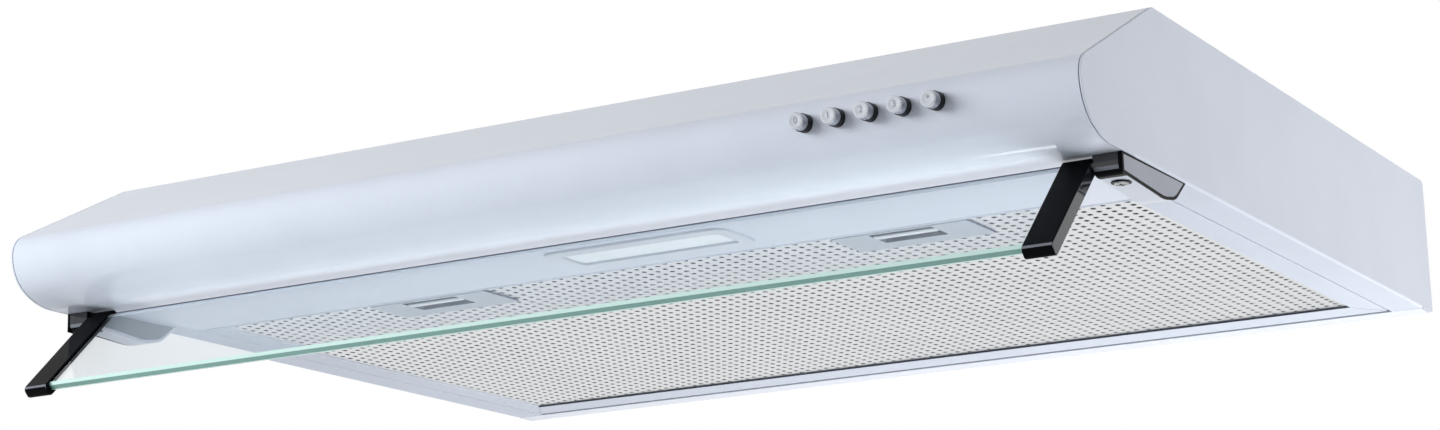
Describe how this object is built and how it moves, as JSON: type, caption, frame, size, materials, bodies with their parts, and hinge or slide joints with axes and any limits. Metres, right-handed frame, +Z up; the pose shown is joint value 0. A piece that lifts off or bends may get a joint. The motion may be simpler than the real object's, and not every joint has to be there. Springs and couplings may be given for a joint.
{
  "type": "range hood",
  "caption": "Slim under-cabinet cooker hood with a swing-out glass visor, push buttons, lamp and latched grease grille.",
  "frame": {"origin": "centre of the four cabinet fixing holes, in the plane of the flat top", "axes": "+X to the right across the hood seen from the front, +Y towards the wall, +Z up"},
  "size_m": [0.6, 0.4971, 0.1596],
  "materials": {
    "painted_steel": "light grey powder coat, satin gloss",
    "galvanised_steel": "zinc-coated sheet",
    "aluminium_mesh": "expanded aluminium",
    "glass": "clear float glass with green edges",
    "black_plastic": "moulded, glossy",
    "grey_plastic": "moulded, satin",
    "latch_plastic": "moulded, satin",
    "white_plastic": "moulded, satin",
    "button_plastic": "silver-grey moulding",
    "lens_plastic": "frosted diffuser",
    "fan_plastic": "dark moulded fan casing and wheel",
    "filter_fleece": "white needled fleece",
    "screw_steel": "bright zinc plate",
    "circuit_board": "white solder mask",
    "motor_steel": "plain motor can"
  },
  "bodies": {
    "root": {"canopy_shell": "painted_steel", "side_panel_left": "painted_steel", "side_panel_right": "painted_steel", "lamp_panel": "painted_steel", "duct_spigot": "white_plastic", "scroll_housing": "fan_plastic", "scroll_cover": "galvanised_steel", "scroll_screws": "screw_steel", "motor_can": "motor_steel", "motor_bracket": "galvanised_steel", "capacitor": "white_plastic", "terminal_box": "white_plastic", "terminal_lid": "white_plastic", "cable_gland": "black_plastic", "switch_module": "white_plastic", "lamp_bezel": "grey_plastic", "lamp_lens": "lens_plastic", "lamp_housing": "galvanised_steel", "led_board": "circuit_board", "hinge_cap_left": "black_plastic", "hinge_cap_right": "black_plastic", "hinge_housing_left": "grey_plastic", "hinge_housing_right": "grey_plastic", "hinge_screws": "screw_steel"},
    "visor": {"visor_glass": "glass", "visor_arm_left": "black_plastic", "visor_arm_right": "black_plastic", "visor_pins": "screw_steel"},
    "grille": {"grille_frame": "painted_steel", "grille_mesh": "aluminium_mesh", "filter_mat": "filter_fleece", "mat_retainer": "screw_steel", "latch_bezel_left": "latch_plastic", "latch_bezel_right": "latch_plastic"},
    "latch_left": {"latch_slider_left": "latch_plastic"},
    "latch_right": {"latch_slider_right": "latch_plastic"},
    "rotor": {"impeller": "fan_plastic", "rotor_shaft": "motor_steel"},
    "damper_left": {"flap_left": "white_plastic"},
    "damper_right": {"flap_right": "white_plastic"},
    "key_1": {"button_1": "button_plastic"},
    "key_2": {"button_2": "button_plastic"},
    "key_3": {"button_3": "button_plastic"},
    "key_4": {"button_4": "button_plastic"},
    "key_5": {"button_5": "button_plastic"}
  },
  "joints": [
    {"name": "visor_hinge", "type": "hinge", "parent": "root", "child": "visor", "pos_m": [0, -0.2437, -0.0795], "axis": [1, 0, 0], "range_deg": [0, 136]},
    {"name": "grille_hinge", "type": "hinge", "parent": "root", "child": "grille", "pos_m": [0, 0.177, -0.0725], "axis": [1, 0, 0], "range_deg": [0, 85]},
    {"name": "fan_spin", "type": "hinge", "parent": "root", "child": "rotor", "pos_m": [-0.15, 0.03, -0.03], "axis": [0, 0, 1], "continuous": true},
    {"name": "damper_left_hinge", "type": "hinge", "parent": "root", "child": "damper_left", "pos_m": [-0.0032, 0.085, 0.0146], "axis": [0, 1, 0], "range_deg": [0, 80]},
    {"name": "damper_right_hinge", "type": "hinge", "parent": "root", "child": "damper_right", "pos_m": [0.0032, 0.085, 0.0146], "axis": [0, -1, 0], "range_deg": [0, 80]},
    {"name": "latch_left_slide", "type": "slide", "parent": "grille", "child": "latch_left", "axis": [0, 1, 0], "range_m": [0, 0.004], "stiffness_N_per_m": 400, "springref_m": -0.004},
    {"name": "latch_right_slide", "type": "slide", "parent": "grille", "child": "latch_right", "axis": [0, 1, 0], "range_m": [0, 0.004], "stiffness_N_per_m": 400, "springref_m": -0.004},
    {"name": "key_1_push", "type": "slide", "parent": "root", "child": "key_1", "axis": [0, 0.9974, 0.0727], "range_m": [0, 0.0035], "stiffness_N_per_m": 500, "springref_m": -0.003},
    {"name": "key_2_push", "type": "slide", "parent": "root", "child": "key_2", "axis": [0, 0.9974, 0.0727], "range_m": [0, 0.0035], "stiffness_N_per_m": 500, "springref_m": -0.003},
    {"name": "key_3_push", "type": "slide", "parent": "root", "child": "key_3", "axis": [0, 0.9974, 0.0727], "range_m": [0, 0.0035], "stiffness_N_per_m": 500, "springref_m": -0.003},
    {"name": "key_4_push", "type": "slide", "parent": "root", "child": "key_4", "axis": [0, 0.9974, 0.0727], "range_m": [0, 0.0035], "stiffness_N_per_m": 500, "springref_m": -0.003},
    {"name": "key_5_push", "type": "slide", "parent": "root", "child": "key_5", "axis": [0, 0.9974, 0.0727], "range_m": [0, 0.0035], "stiffness_N_per_m": 500, "springref_m": -0.003}
  ]
}
